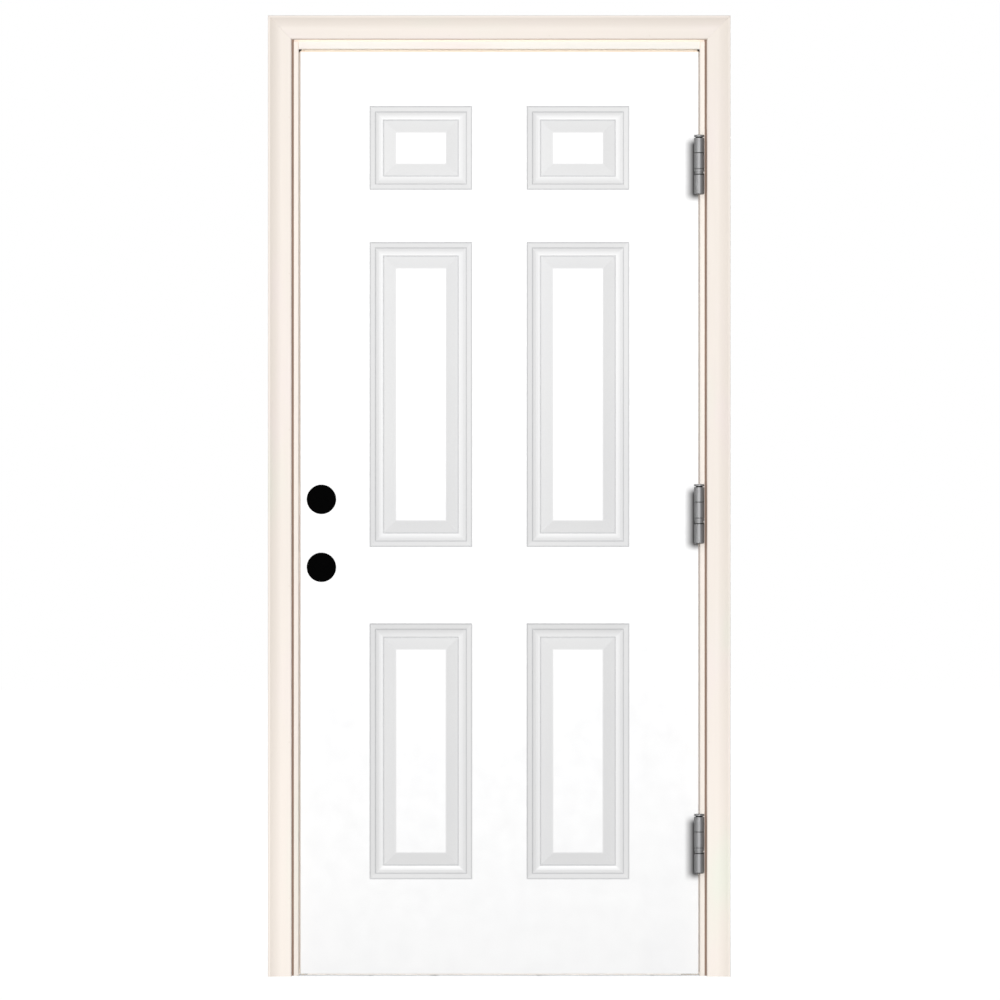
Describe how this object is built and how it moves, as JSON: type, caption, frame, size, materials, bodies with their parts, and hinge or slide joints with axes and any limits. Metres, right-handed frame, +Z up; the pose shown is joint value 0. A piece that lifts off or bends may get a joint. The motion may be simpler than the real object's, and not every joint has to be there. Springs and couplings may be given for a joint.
{
  "type": "panelled front door with frame",
  "caption": "Prehung panelled steel front door that swings outwards on barrel hinges, in a rabbeted timber frame with mitred brickmould and a low metal threshold.",
  "frame": {"origin": "on the floor, midway between the jambs, in the plane of the closed door's outer face", "axes": "+X towards the hinge side, +Y into the house, +Z up"},
  "size_m": [1.0044, 0.1478, 2.087],
  "materials": {
    "skin_steel": "white primed steel",
    "jamb_timber": "cream primed timber",
    "brickmould_timber": "cream primed timber",
    "stile_timber": "bare timber",
    "core_foam": "rigid foam",
    "hinge_steel": "satin steel",
    "fasteners": "zinc plated",
    "threshold_metal": "mill aluminium",
    "seal_vinyl": "matt vinyl",
    "weatherstrip": "tan foam with a smooth skin",
    "corner_pad_foam": "dark foam"
  },
  "bodies": {
    "frame": {"hinge_jamb": "jamb_timber", "strike_jamb": "jamb_timber", "head_jamb": "jamb_timber", "hinge_side_brickmould": "brickmould_timber", "strike_side_brickmould": "brickmould_timber", "head_brickmould": "brickmould_timber", "brickmould_nails": "fasteners", "frame_corner_screws": "fasteners", "sill_screws": "fasteners", "threshold": "threshold_metal", "threshold_seal": "seal_vinyl", "hinge_side_weatherstrip": "weatherstrip", "strike_side_weatherstrip": "weatherstrip", "head_weatherstrip": "weatherstrip", "corner_pads": "corner_pad_foam", "upper_hinge_jamb_leaf": "hinge_steel", "middle_hinge_jamb_leaf": "hinge_steel", "lower_hinge_jamb_leaf": "hinge_steel", "upper_hinge_pin": "hinge_steel", "middle_hinge_pin": "hinge_steel", "lower_hinge_pin": "hinge_steel", "upper_hinge_bearing": "hinge_steel", "middle_hinge_bearing": "hinge_steel", "lower_hinge_bearing": "hinge_steel", "jamb_leaf_screws": "fasteners"},
    "door": {"exterior_skin": "skin_steel", "interior_skin": "skin_steel", "foam_core": "core_foam", "lock_stile": "stile_timber", "hinge_stile": "stile_timber", "top_rail": "stile_timber", "bottom_rail": "stile_timber", "lock_block": "stile_timber", "door_bottom_seal": "seal_vinyl", "upper_hinge_door_leaf": "hinge_steel", "middle_hinge_door_leaf": "hinge_steel", "lower_hinge_door_leaf": "hinge_steel", "door_leaf_screws": "fasteners"}
  },
  "joints": [
    {"name": "door_swing", "type": "hinge", "parent": "frame", "child": "door", "pos_m": [0.4345, -0.0117, 0], "axis": [0, 0, 1], "range_deg": [0, 165]}
  ]
}
